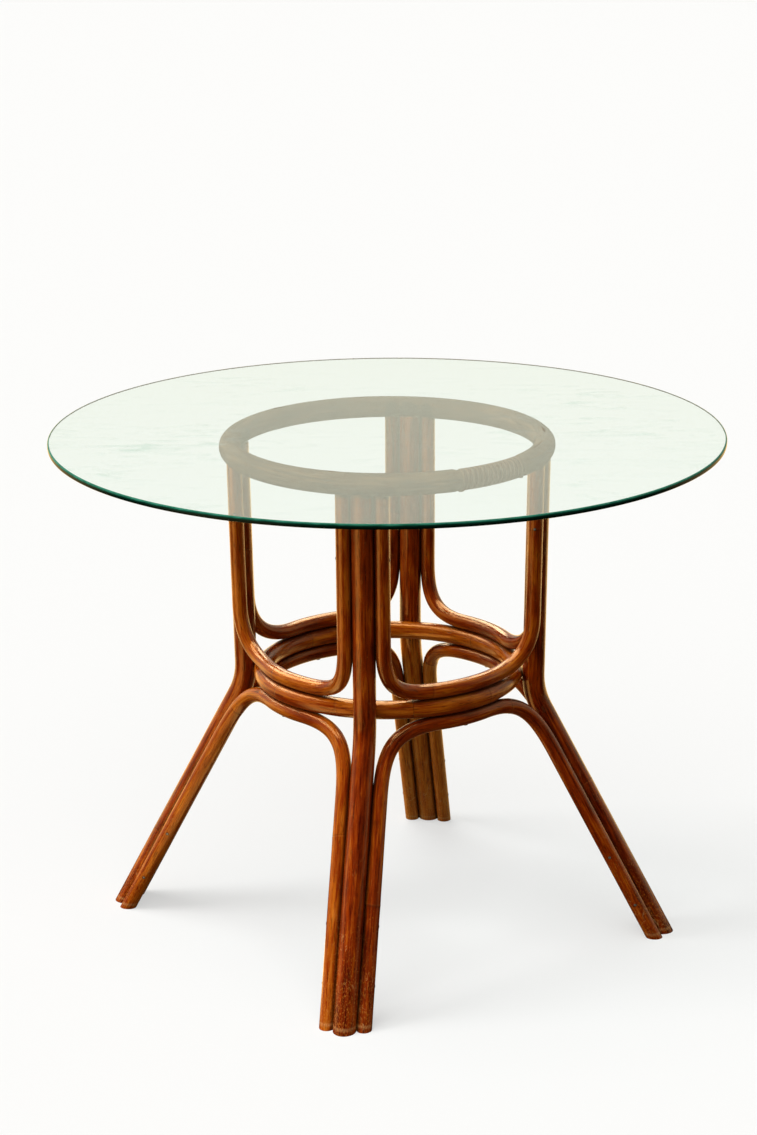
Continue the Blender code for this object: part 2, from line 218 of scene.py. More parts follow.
# Near-black of the painted shade and dirt in the crevices
CREVICE_SHADE_AND_DIRT = (0.006, 0.0008, 0.0003)
RUBBED_RIDGE = (0.42, 0.19, 0.06)
PEEL_EDGE_HIGHLIGHT = (0.50, 0.32, 0.19)
WORN_FLECK = (0.50, 0.155, 0.014)
SCRAPED_CANE = (0.60, 0.31, 0.11)
LACQUER_TINT = (1.0, 0.62, 0.28)
BARE_STEEL = (0.66, 0.62, 0.56)
GLASS_FACE = (1.0, 1.0, 1.0)
GLASS_FILM = (0.60, 0.74, 0.67)
GLASS_DEPTH = (0.04, 0.90, 0.97)
GLASS_DENSITY = 10.5
GLASS_IOR = 1.52

# Wiping marks on the glass: their scale across and along the view, and how far out they are strongest
WIPING_SCALE = (9, 34, 0)
WIPING_PATCH_SCALE = 4.5
WIPED_FROM_MIDDLE = (0.10, 0.34)

# Stain, lightness and gloss of each kind of cane, and polish of the nails
CANE_FINISHES = {
    "leg_rattan": (STAIN, -0.13, 0.5),
    "loop_rattan": (STAIN, -0.10, 0.5),
    "ring_rattan": (DULL_STAIN, 0.14, 0.0),
}
NAIL_POLISH = 0.25
RUBBED_NAIL_POLISH = 1.0

# Mesh fineness
CANE_STEP = 0.006
NODE_STEPS = [step / 1000 for step in (-10, -7, -5, -4, -3, -2.4, -1.8, -1.2, -0.6, 0, 0.6, 1.2, 1.8,
                                       2.4, 3, 4, 5, 7, 10)]
CANE_SIDES = 32
END_RING_SHARES = (0.7, 0.5)
BEND_STEPS = 48
CIRCLE_STEPS = 8 * BEND_STEPS
GRIP = 0.004
WINDING_STEPS = 40
CROWN_STEPS = 10
GLASS_STEPS = 256
EDGE_STEPS = 6
FASTENER_STEPS = 24
SHARP_ANGLE = math.radians(40)
WELD = 1e-6

# Sizes worked out from those above
GLASS_BOTTOM = TABLE_HEIGHT - GLASS_THICKNESS
TOP_RING_HEIGHT = GLASS_BOTTOM - FIT - TOP_RING_POLE / 2
TOP_RING_BOTTOM = TOP_RING_HEIGHT - TOP_RING_POLE / 2
WAIST_RADIUS = HOOP_RADIUS + HOOP_POLE / 2 + FIT + LEG_POLE / 2
FLANK = LEG_POLE / 2 + FIT + LOOP_POLE / 2
RUN_OFFSET = HOOP_POLE / 2 + FIT + LOOP_POLE / 2
POLE_TOP = TOP_RING_BOTTOM + COPE_DEPTH
LEG_STEP = math.tau / LEG_COUNT
PEEL_PITCH = PEEL_WIDTH + PEEL_SPACING
PARED_DEPTH = FIT + PEEL_THICKNESS + FIT
PARED_LENGTH = BINDING_TURNS * PEEL_PITCH + PEEL_WIDTH + 2 * PARED_MARGIN
NAIL_LENGTH = FIT + LOOP_POLE + FIT + NAIL_BITE
SCREW_LENGTH = FIT + LOOP_POLE + FIT + HOOP_POLE + FIT + SCREW_BITE

# Camera, in a frame turned so that it looks along +Y
VIEW_TURN = math.radians(-35.85)
CAMERA_PLACE = Vector((-0.0045, -4.2762, 1.8459))
CAMERA_PITCH = math.radians(16.704)
CAMERA_YAW = math.radians(-0.129)
CAMERA_ROLL = math.radians(-0.45)
CAMERA_LENS = 94.5
VIEW_AHEAD = Matrix.Rotation(VIEW_TURN, 3, "Z") @ Vector((0, 1, 0))
VIEW_LEFT = Matrix.Rotation(VIEW_TURN, 3, "Z") @ Vector((-1, 0, 0))

# Floor and room: what the eye sees, the even fill, and what the gloss of the canes mirrors
FLOOR_REACH = 40
FLOOR_WHITE = (0.862, 0.860, 0.849)
FLOOR_BOUNCE = (0.05, 0.05, 0.049)
FLOOR_GLOW = 0.65
FLOOR_BEHIND_GLASS = 0.07
FILL_LEVEL = 0.07
ROOM_WHITE = (0.865, 0.835, 0.665)
FRONT_GLOSS = 0.07
BACK_GLOSS = 1.0
GLOSS_CHANGE = (-0.6, 0.2)
BACK_FLOOR_GLOSS = 2.2
FLOOR_GLOSS_CHANGE = (0.1, 1.2)
WINDOW_GLOSS = 4.0
WINDOW_OPENING = (math.radians(20), math.radians(45))
WINDOW_CLOSING = (math.radians(58), math.radians(85))
GLOSS_WARMTH = (1.0, 0.66, 0.25)

# Lamps, with directions in the camera's frame
KEY_DIRECTION = (-0.25, -1.0, 1.15)
KEY_STRENGTH = 1.75
KEY_SPREAD = math.radians(70)
SIDE_DIRECTION = (-1.0, -0.10, 0.62)
SIDE_STRENGTH = 2.2
SIDE_SPREAD = math.radians(30)
TOP_DIRECTION = (-0.25, 0.10, 0.95)
TOP_STRENGTH = 1.8
TOP_SPREAD = math.radians(36)
SOFTBOX_DIRECTION = (-0.20, 0.42, 0.88)
SOFTBOX_STRENGTH = 14
SOFTBOX_SPREAD = math.radians(77)
SOFTBOX_WARMTH = (1.0, 0.82, 0.55)


# Places

def outward(angle):
    return Vector((math.cos(angle), math.sin(angle), 0))


def sideways(angle):
    return Vector((-math.sin(angle), math.cos(angle), 0))


def up(height):
    return Vector((0, 0, height))


def leg_angle(index):
    return FIRST_LEG_ANGLE + index * LEG_STEP


def leg_line():
    """Radius and height along a leg, from the ring round the bend at the hoop and on through the floor."""
    middle = Vector((WAIST_RADIUS + LEG_BEND_RADIUS, HOOP_HEIGHT))
    top = Vector((TOP_RING_RADIUS - LEG_TOP_INSET, POLE_TOP))
    foot = Vector((LEG_FOOT_RADIUS, 0))

    def touching_angle(end, turn):
        away = end - middle
        return math.atan2(away.y, away.x) % math.tau + turn * math.acos(LEG_BEND_RADIUS / away.length)

    start = touching_angle(top, 1)
    stop = touching_angle(foot, -1)
    line = [top]
    for step in range(BEND_STEPS + 1):
        angle = start + (stop - start) * step / BEND_STEPS
        line.append(middle + LEG_BEND_RADIUS * Vector((math.cos(angle), math.sin(angle))))
    return line + [foot + (foot - line[-1]).normalized() * LEG_POLE]


LEG_LINE = leg_line()
LEG_SHIN = LEG_LINE[-1] - LEG_LINE[-2]
LEG_SLANT = LEG_SHIN.length / -LEG_SHIN.y


def leg_radius(height):
    """Distance of a leg's centreline from the table's axis at a height."""
    stretches = zip(LEG_LINE, LEG_LINE[1:])
    above, below = next(stretch for stretch in stretches if height >= stretch[1].y)
    share = (above.y - height) / (above.y - below.y)
    return above.x + (below.x - above.x) * share


def flank_place(angle, side, height, tuck):
    """Centre of the loop cane that runs beside the leg at this angle, set round the leg by the tuck."""
    inward = FLANK * math.sin(tuck) * LEG_SLANT
    across = FLANK * math.cos(tuck) * side
    return outward(angle) * (leg_radius(height) - inward) + sideways(angle) * across + up(height)


def half_loop(angle, side, ends, tuck, run_height, reach):
    """Centreline of a loop from the free end beside a leg to where its run on the hoop begins."""
    upright = [flank_place(angle, side, height, tuck) for height in ends]
    run_angle = angle + side * reach / HOOP_RADIUS
    run_start = outward(run_angle) * HOOP_RADIUS + up(run_height)
    handle = BEND_FULLNESS * (run_start - upright[-1]).length
    leaving = upright[-1] + (upright[-1] - upright[-2]).normalized() * handle
    arriving = run_start - sideways(run_angle) * side * handle
    bend = interpolate_bezier(upright[-1], leaving, arriving, run_start, BEND_STEPS + 1)
    return upright[:-1] + bend


def loop_line(index, ends, tuck, run_height, reach):
    """Centreline of the loop between a leg and the next one."""
    first = leg_angle(index)
    second = leg_angle(index + 1)
    start = first + reach / HOOP_RADIUS
    stop = second - reach / HOOP_RADIUS
    run = []
    for step in range(1, BEND_STEPS):
        angle = start + (stop - start) * step / BEND_STEPS
        run.append(outward(angle) * HOOP_RADIUS + up(run_height))
    going = half_loop(first, 1, ends, tuck, run_height, reach)
    coming = half_loop(second, -1, ends, tuck, run_height, reach)
    return going + run + coming[::-1]


def upper_loop_line(index):
    run_height = HOOP_HEIGHT + RUN_OFFSET
    ends = [POLE_TOP, run_height + UPPER_BEND_RISE]
    return loop_line(index, ends, 0, run_height, UPPER_BEND_REACH)


def lower_loop_line(index):
    run_height = HOOP_HEIGHT - RUN_OFFSET
    ends = [LEG_LINE[-1].y, run_height - LOWER_BEND_RISE]
    return loop_line(index, ends, LOWER_TUCK, run_height, LOWER_BEND_REACH)


def circle_line(radius, height, start, gap):
    """A full turn from one angle round to it again, short of closing by a gap."""
    spare = gap / 2 / radius
    turn = math.tau - 2 * spare
    angles = [start + spare + turn * step / CIRCLE_STEPS for step in range(CIRCLE_STEPS + 1)]
    return [outward(angle) * radius + up(height) for angle in angles]


# Canes

class Cane:
    """One cane: its centreline, thickness, nodes and the tone of each length between nodes, which on some
    seen canes is set lighter as painted light, and on one darker as painted shade.
    """

    def __init__(self, number, node, places, diameter, finish, start, stop):
        self.number = number
        self.node = node
        self.places = places
        self.diameter = diameter
        self.finish = finish
        self.ends = (start, stop)
        self.marks = [0.0]
        for first, second in zip(places, places[1:]):
            self.marks.append(self.marks[-1] + (second - first).length)
        self.length = self.marks[-1]
        self.chance = random.Random(number)
        self.scars = [(place, self.chance.uniform(0, math.tau)) for place in self.node_places()]
        drifts = [self.chance.uniform(-TONE_SPREAD, TONE_SPREAD) for _ in range(len(self.scars) + 1)]
        self.tones = SEEN_TONES_AND_PAINTED_LIGHT.get(node, [TONE_MIDDLE + drift for drift in drifts])

    def node_places(self):
        if self.node in SEEN_NODES:
            return list(SEEN_NODES[self.node])
        if self.node == "middle_hoop":
            return sorted((angle - HOOP_SEAM_ANGLE) % math.tau * HOOP_RADIUS for angle in HOOP_NODE_ANGLES)
        places = [self.chance.uniform(*FIRST_NODE)]
        while places[-1] < self.length - NODE_SPACING[1]:
            places.append(places[-1] + self.chance.uniform(*NODE_SPACING))
        return places

    def at(self, distance):
        index = bisect.bisect_right(self.marks, distance) - 1
        index = min(max(index, 0), len(self.places) - 2)
        share = (distance - self.marks[index]) / (self.marks[index + 1] - self.marks[index])
        return self.places[index] + (self.places[index + 1] - self.places[index]) * share

    def ahead(self, distance):
        return (self.at(distance + GRIP) - self.at(distance - GRIP)).normalized()

    def stations(self):
        count = round(self.length / CANE_STEP)
        even = [self.length * step / count for step in range(count + 1)]
        close = [place + step for place, _ in self.scars for step in NODE_STEPS]
        kept = [place for place in even if all(abs(place - other) > CANE_STEP / 4 for other in close)]
        inside = [place for place in close if 0 < place < self.length]
        return sorted(set(kept + inside + [0, self.length]))

    def from_scar(self, distance, around):
        """Distance along the cane from the nearest scar, which slants round the cane."""
        place, turn = min(self.scars, key=lambda scar: abs(distance - scar[0]))
        return distance - place - NODE_SLANT * math.cos(around - turn)

    def tone(self, distance):
        passed = sum(place <= distance for place, _ in self.scars)
        return self.tones[min(passed, len(self.tones) - 1)]

    def radius(self, distance, around):
        off = self.from_scar(distance, around)
        ridge = NODE_RIDGE * math.exp(-(off / NODE_LINE_WIDTH) ** 2)
        groove = NODE_GROOVE * math.exp(-((off + NODE_GROOVE_DROP) / NODE_LINE_WIDTH) ** 2)
        swelling = NODE_SWELLING * math.exp(-(off / NODE_SWELLING_REACH) ** 2)
        along = UNEVENNESS_RATE * distance + UNEVENNESS_STEP * self.number
        spot = Vector((math.cos(around), math.sin(around), along))
        unevenness = CANE_UNEVENNESS * noise.noise(spot)
        pared = PARED_DEPTH if self.node == "top_ring" and self.under_binding(distance) else 0
        return self.diameter / 2 + SNUG + ridge - groove + swelling + unevenness - pared

    def under_binding(self, distance):
        return min(distance, self.length - distance) < PARED_LENGTH / 2


def all_canes():
    ring = circle_line(TOP_RING_RADIUS, TOP_RING_HEIGHT, BINDING_ANGLE, SEAM_GAP)
    hoop = circle_line(HOOP_RADIUS, HOOP_HEIGHT, HOOP_SEAM_ANGLE, SEAM_GAP)
    kinds = [("top_ring", ring, TOP_RING_POLE, "ring_rattan", "cut", "cut"),
             ("middle_hoop", hoop, HOOP_POLE, "loop_rattan", "cut", "cut")]
    for index in range(LEG_COUNT):
        leg = [outward(leg_angle(index)) * place.x + up(place.y) for place in LEG_LINE]
        upper = upper_loop_line(index)
        lower = lower_loop_line(index)
        kinds.append((f"leg_pole_{index + 1}", leg, LEG_POLE, "leg_rattan", "coped", "foot"))
        kinds.append((f"upper_loop_{index + 1}", upper, LOOP_POLE, "loop_rattan", "coped", "coped"))
        kinds.append((f"lower_loop_{index + 1}", lower, LOOP_POLE, "loop_rattan", "foot", "foot"))
    return [Cane(number, *kind) for number, kind in enumerate(kinds)]


def crevice_finder(canes):
    """A function that tells how deep in the crevice beside another cane a point lies, 0 to 1."""
    spots = [(cane.at(place), cane.ahead(place), cane) for cane in canes for place in cane.stations()]
    tree = kdtree.KDTree(len(spots))
    for index, (place, _, _) in enumerate(spots):
        tree.insert(place, index)
    tree.balance()
    reach = LEG_POLE / 2 + CREVICE_REACH

    def crevice(place, own):
        gaps = []
        for middle, index, _ in tree.find_range(place, reach):
            _, ahead, cane = spots[index]
            if cane is not own:
                gaps.append(ahead.cross(place - middle).length - cane.diameter / 2)
        return max(0.0, 1 - max(min(gaps), 0) / CREVICE_REACH) if gaps else 0.0

    return crevice


def cope(verts):
    """Fits the end of a cane to the underside of the top ring."""
    seat = TOP_RING_POLE / 2 + FIT
    for vert in verts:
        off = math.hypot(vert.co.x, vert.co.y) - TOP_RING_RADIUS
        under = TOP_RING_HEIGHT - math.sqrt(max(seat ** 2 - off ** 2, 0))
        vert.co.z = min(POLE_TOP, under)


def grow(bm, edges):
    """Extrudes a ring of edges and returns the new ring's vertices and edges."""
    grown = bmesh.ops.extrude_edge_only(bm, edges=edges)["geom"]
    verts = [thing for thing in grown if isinstance(thing, bmesh.types.BMVert)]
    fresh = set(verts)
    ring = [thing for thing in grown if isinstance(thing, bmesh.types.BMEdge) and set(thing.verts) <= fresh]
    return verts, ring


def close_end(bm, edges, kind):
    """Caps a cane's end with two smaller rings and a middle face."""
    verts = {vert for edge in edges for vert in edge.verts}
    centre = sum((vert.co for vert in verts), Vector()) / len(verts)
    if kind == "coped":
        cope(verts)
    for share in END_RING_SHARES:
        verts, edges = grow(bm, edges)
        for vert in verts:
            vert.co = centre + (vert.co - centre) * share
        if kind == "coped":
            cope(verts)
    bmesh.ops.contextual_create(bm, geom=edges)


def cut_feet(bm):
    """Cuts the feet level with the floor and rounds them."""
    everything = bm.verts[:] + bm.edges[:] + bm.faces[:]
    bmesh.ops.bisect_plane(bm, geom=everything, plane_co=(0, 0, 0), plane_no=(0, 0, -1), clear_outer=True)
    rim = [edge for edge in bm.edges if edge.is_boundary and edge.verts[0].co.z < FIT]
    soles = bmesh.ops.holes_fill(bm, edges=rim)["faces"]
    edges = {edge for face in soles for edge in face.edges}
    bmesh.ops.bevel(bm, geom=list(edges), offset=FOOT_ROUND, offset_type="OFFSET", affect="EDGES",
                    segments=FOOT_ROUND_STEPS, profile=0.5, material=-1, clamp_overlap=True)


def cane_mesh(cane, crevice):
    """The cane swept ring by ring, with its own straight coordinates kept on every vertex."""
    bm = bmesh.new()
    straight = bm.verts.layers.float_vector.new("straight_cane")
    marks = bm.verts.layers.float_vector.new("cane_marks")
    depth = bm.verts.layers.float.new("crevice")
    verts = bmesh.ops.create_circle(bm, segments=CANE_SIDES, radius=cane.diameter / 2)["verts"]
    for vert in verts:
        vert[straight] = vert.co
    edges = bm.edges[:]
    first_edges = edges
    ahead = cane.at(GRIP) - cane.at(0)
    side = Vector((1, 0, 0)) if abs(ahead.z) > abs(ahead.x) + abs(ahead.y) else up(1)
    for distance in cane.stations():
        if distance > 0:
            verts, edges = grow(bm, edges)
        ahead = cane.ahead(distance)
        side = (side - ahead * side.dot(ahead)).normalized()
        other = ahead.cross(side)
        place = cane.at(distance)
        for vert in verts:
            around = math.atan2(vert[straight].y, vert[straight].x)
            away = side * math.cos(around) + other * math.sin(around)
            vert.co = place + away * cane.radius(distance, around)
            off = cane.from_scar(distance, around)
            lip = math.exp(-(off / RIDGE_MARK_WIDTH) ** 2)
            groove = math.exp(-((off + NODE_GROOVE_DROP) / GROOVE_MARK_WIDTH) ** 2)
            vert[straight] = (vert[straight].x, vert[straight].y, distance + GRAIN_STEP * cane.number)
            vert[marks] = (lip, groove, cane.tone(distance))
            vert[depth] = crevice(vert.co, cane)
    for ring, kind in ((first_edges, cane.ends[0]), (edges, cane.ends[1])):
        if kind != "foot":
            close_end(bm, ring, kind)
    if "foot" in cane.ends:
        cut_feet(bm)
    return mesh_from(bm, cane.node)


def mesh_from(bm, name):
    bmesh.ops.remove_doubles(bm, verts=bm.verts, dist=WELD)
    bmesh.ops.recalc_face_normals(bm, faces=bm.faces)
    mesh = bpy.data.meshes.new(name)
    bm.to_mesh(mesh)
    bm.free()
    return mesh


def show(name, mesh, material, body, slot, node):
    """Links a finished piece that rides a body and stands for a node of the part."""
    thing = bpy.data.objects.new(name, mesh)
    bpy.context.scene.collection.objects.link(thing)
    mesh.materials.append(material)
    mesh.shade_smooth()
    mesh.set_sharp_from_angle(angle=SHARP_ANGLE)
    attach(thing, body)
    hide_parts(node)
    return thing


# Glass, binding and fasteners

def quarter_round(radius, height, reach, rise):
    """Outline points of a quarter round about (radius, height), from its crown out to its side."""
    turns = [math.pi / 2 * step / EDGE_STEPS for step in range(EDGE_STEPS + 1)]
    return [(radius + reach * math.sin(turn), height + rise * math.cos(turn)) for turn in turns]


def turned(outline, steps):
    """A closed turned solid from (radius, height) points that start and end on the Z axis."""
    bm = bmesh.new()
    corners = [bm.verts.new((radius, 0, height)) for radius, height in outline]
    line = [bm.edges.new(pair) for pair in zip(corners, corners[1:])]
    bmesh.ops.spin(bm, geom=corners + line, cent=(0, 0, 0), axis=(0, 0, 1), angle=math.tau,
                   steps=steps, use_merge=True)
    bmesh.ops.remove_doubles(bm, verts=bm.verts, dist=WELD)
    return bm


def glass_mesh():
    """The disc with eased edges, whose faces outside the flat take the rim's finish."""
    rim = GLASS_DIAMETER / 2
    ease = GLASS_EDGE_ROUND
    upper_edge = quarter_round(rim - ease, GLASS_THICKNESS - ease, ease, ease)
    lower_edge = quarter_round(rim - ease, ease, ease, -ease)
    flat = rim - ease - GLASS_EDGE_BAND
    outline = [(0, GLASS_THICKNESS), (flat, GLASS_THICKNESS)] + upper_edge
    outline += lower_edge[::-1] + [(flat, 0), (0, 0)]
    bm = turned(outline, GLASS_STEPS)
    for face in bm.faces:
        face.material_index = 1 if min(vert.co.xy.length for vert in face.verts) > flat else 0
    bmesh.ops.translate(bm, vec=up(GLASS_BOTTOM), verts=bm.verts)
    return mesh_from(bm, "glass_disc")


def peel_section():
    """Crowned section of the peel as (across, out) points: flat below, domed above."""
    low = TOP_RING_POLE / 2 - PARED_DEPTH + FIT
    half = PEEL_WIDTH / 2
    crown = []
    for step in range(CROWN_STEPS + 1):
        turn = math.pi * step / CROWN_STEPS
        across = -half * math.copysign(abs(math.cos(turn)) ** PEEL_CROWN_ACROSS, math.cos(turn))
        rise = (1 - PEEL_EDGE_SHARE) * math.sin(turn) ** PEEL_CROWN_OUT
        crown.append((across, low + PEEL_THICKNESS * (PEEL_EDGE_SHARE + rise)))
    flat = half * PEEL_FLAT_SHARE
    return crown + [(flat, low), (-flat, low)]


def binding_mesh():
    """One unbroken crowned peel wound round the pared ring, its tails tucked at the underside."""
    section = peel_section()
    wound_length = BINDING_TURNS * PEEL_PITCH
    bm = bmesh.new()
    straight = bm.verts.layers.float_vector.new("straight_cane")
    corners = [bm.verts.new((along, 0, -out)) for along, out in section]
    for corner, (along, out) in zip(corners, section):
        corner[straight] = (along, out, 0)
    loop = [bm.edges.new((corners[i - 1], corners[i])) for i in range(len(corners))]
    start = bm.faces.new(corners)
    wound = bmesh.ops.spin(bm, geom=corners + loop, cent=(0, 0, 0), axis=(1, 0, 0),
                           dvec=(PEEL_PITCH / WINDING_STEPS, 0, 0), angle=BINDING_TURNS * math.tau,
                           steps=BINDING_TURNS * WINDING_STEPS)
    last = [thing for thing in wound["geom_last"] if isinstance(thing, bmesh.types.BMVert)]
    stop = bmesh.ops.contextual_create(bm, geom=last)["faces"][0]
    for end, away in ((start, -1), (stop, 1)):
        tail = bmesh.ops.extrude_discrete_faces(bm, faces=[end])["faces"][0]
        bmesh.ops.translate(bm, vec=(0, away * PEEL_TAIL, 0), verts=tail.verts)
    wrap = math.tau * TOP_RING_POLE / 2
    for vert in bm.verts:
        turn = (math.atan2(vert.co.y, -vert.co.z) / math.tau) % 1
        along = vert.co.x - vert[straight].x
        laps = round(along / PEEL_PITCH - turn) + turn
        from_end = min(laps, BINDING_TURNS - laps)
        swelling = KNOT_SWELLING * math.exp(-((from_end - KNOT_LAP) / KNOT_LAP_SPREAD) ** 2)
        crowned = (vert[straight].y - section[-1][1]) / PEEL_THICKNESS
        vert.co += Vector((0, vert.co.y, vert.co.z)).normalized() * swelling * crowned
        vert[straight] = (vert[straight].x, vert[straight].y, laps * wrap)
        angle = BINDING_ANGLE + (vert.co.x - wound_length / 2) / TOP_RING_RADIUS
        vert.co = outward(angle) * (TOP_RING_RADIUS + vert.co.y) + up(TOP_RING_HEIGHT + vert.co.z)
    return mesh_from(bm, "binding_peel")


def headed_outline(shank, head, head_height, length):
    """Half outline of a nail or screw: low domed head above zero, shank and point below."""
    side = head_height * HEAD_SIDE_SHARE
    dome = quarter_round(0, side, head / 2, head_height - side)
    underside = (head / 2 * HEAD_UNDERSIDE_SHARE, 0)
    return dome + [underside, (shank / 2, 0), (shank / 2, shank - length), (0, -length)]


def aimed(place, direction):
    """Puts a fastener's zero point at a place with its head in a direction."""
    return Matrix.Translation(place) @ direction.to_track_quat("Z", "Y").to_matrix().to_4x4()


def nail_places():
    """Node name and placing of every nail: two near each foot and one under the ring, on both flanks."""
    spots = [(f"foot_nail_{{}}{number + 1}", height, LOWER_TUCK)
             for number, height in enumerate(FOOT_NAIL_HEIGHTS)]
    spots.append(("upper_nail_{}", TOP_RING_BOTTOM - UPPER_NAIL_DROP, 0))
    for index in range(LEG_COUNT):
        angle = leg_angle(index)
        for side, hand in ((1, "a"), (-1, "b")):
            away = sideways(angle) * side
            for name, height, tuck in spots:
                seat = flank_place(angle, side, height, tuck) + away * LOOP_POLE / 2
                yield name.format(f"{index + 1}{hand}"), aimed(seat, away)


def screw_places():
    """One screw up through the middle of each lower loop."""
    seat = HOOP_HEIGHT - RUN_OFFSET - LOOP_POLE / 2
    for index in range(LEG_COUNT):
        middle = outward(leg_angle(index) + LEG_STEP / 2) * HOOP_RADIUS
        yield f"loop_screw_{index + 1}", aimed(middle + up(seat), up(-1))


def fastener_mesh(name, outline, place):
    """A turned fastener at its place, with how near the crown of its head a point is kept on it."""
    bm = turned(outline, FASTENER_STEPS)
    crown = bm.verts.layers.float.new("crown")
    width = max(radius for radius, _ in outline)
    for vert in bm.verts:
        vert[crown] = 1 - min(math.hypot(vert.co.x, vert.co.y) / width, 1)
    bmesh.ops.transform(bm, matrix=place, verts=bm.verts)
    return mesh_from(bm, name)


# Materials

class Nodes:
    """A node tree with short ways to add the nodes that the finishes and the room use."""

    def __init__(self, tree):
        self.tree = tree

    def put(self, value, socket):
        if isinstance(value, bpy.types.NodeSocket):
            self.tree.links.new(value, socket)
        else:
            socket.default_value = value

    def add(self, kind, inputs=(), **settings):
        node = self.tree.nodes.new(kind)
        for key, value in settings.items():
            setattr(node, key, value)
        for key, value in dict(inputs).items():
            self.put(value, node.inputs[key])
        return node

    def attribute(self, name):
        return self.add("ShaderNodeAttribute", attribute_name=name)

    def place(self):
        return self.add("ShaderNodeTexCoord").outputs["Object"]

    def parts(self, vector):
        return self.add("ShaderNodeSeparateXYZ", {0: vector}).outputs

    def scaled(self, vector, scale):
        return self.add("ShaderNodeVectorMath", {0: vector, 1: scale}, operation="MULTIPLY").outputs[0]

    def along(self, vector, direction):
        node = self.add("ShaderNodeVectorMath", {0: vector, 1: direction}, operation="DOT_PRODUCT")
        return node.outputs["Value"]

    def speckle(self, vector, scale, detail=2.0, roughness=0.5, distortion=0.0):
        inputs = {"Vector": vector, "Scale": scale, "Detail": detail, "Roughness": roughness,
                  "Distortion": distortion}
        return self.add("ShaderNodeTexNoise", inputs).outputs[0]

    def grain(self, straight, kind, detail, roughness, distortion=0.0):
        """A pattern that is drawn out along the cane."""
        lengthwise, fineness = kind
        drawn_out = self.scaled(straight, (1, 1, lengthwise))
        return self.speckle(drawn_out, fineness, detail, roughness, distortion)

    def sum(self, first, second, share=1.0):
        """The first value and a share of the second."""
        inputs = {0: second, 1: share, 2: first}
        return self.add("ShaderNodeMath", inputs, operation="MULTIPLY_ADD").outputs[0]

    def maths(self, operation, first, second=0.0):
        return self.add("ShaderNodeMath", {0: first, 1: second}, operation=operation).outputs[0]

    def times(self, first, second):
        return self.maths("MULTIPLY", first, second)

    def mix(self, share, first, second):
        """The first value changed into the second by a share."""
        return self.add("ShaderNodeMix", {"Factor": share, "A": first, "B": second}).outputs[0]

    def between(self, value, low, high, start=0.0, stop=1.0):
        """Start below low, stop above high, and a smooth change between them."""
        inputs = {"Value": value, "From Min": low, "From Max": high, "To Min": start, "To Max": stop}
        return self.add("ShaderNodeMapRange", inputs, interpolation_type="SMOOTHSTEP").outputs[0]

    def ramp(self, value, stops):
        node = self.add("ShaderNodeValToRGB", {0: value})
        points = node.color_ramp.elements
        while len(points) < len(stops):
            points.new(1)
        for point, (place, colour) in zip(points, stops):
            point.position = place
            point.color = (*colour, 1)
        return node.outputs[0]

    def blend(self, share, first, second):
        """The first colour changed into the second by a share."""
        node = self.add("ShaderNodeMix", data_type="RGBA")
        for value, key in ((share, 0), (first, 6), (second, 7)):
            colour = (*value, 1) if isinstance(value, tuple) else value
            self.put(colour, node.inputs[key])
        return node.outputs[2]

    def bump(self, height, strength, distance):
        inputs = {"Height": height, "Strength": strength, "Distance": distance}
        return self.add("ShaderNodeBump", inputs).outputs[0]


class Finish(Nodes):
    """A new material, its shader and its output."""

    def __init__(self, name):
        self.material = bpy.data.materials.new(name)
        self.material.use_nodes = True
        super().__init__(self.material.node_tree)
        self.shader = self.tree.nodes["Principled BSDF"]
        self.output = self.tree.nodes["Material Output"]

    def set(self, **inputs):
        for key, value in inputs.items():
            self.put(value, self.shader.inputs[key.replace("_", " ")])


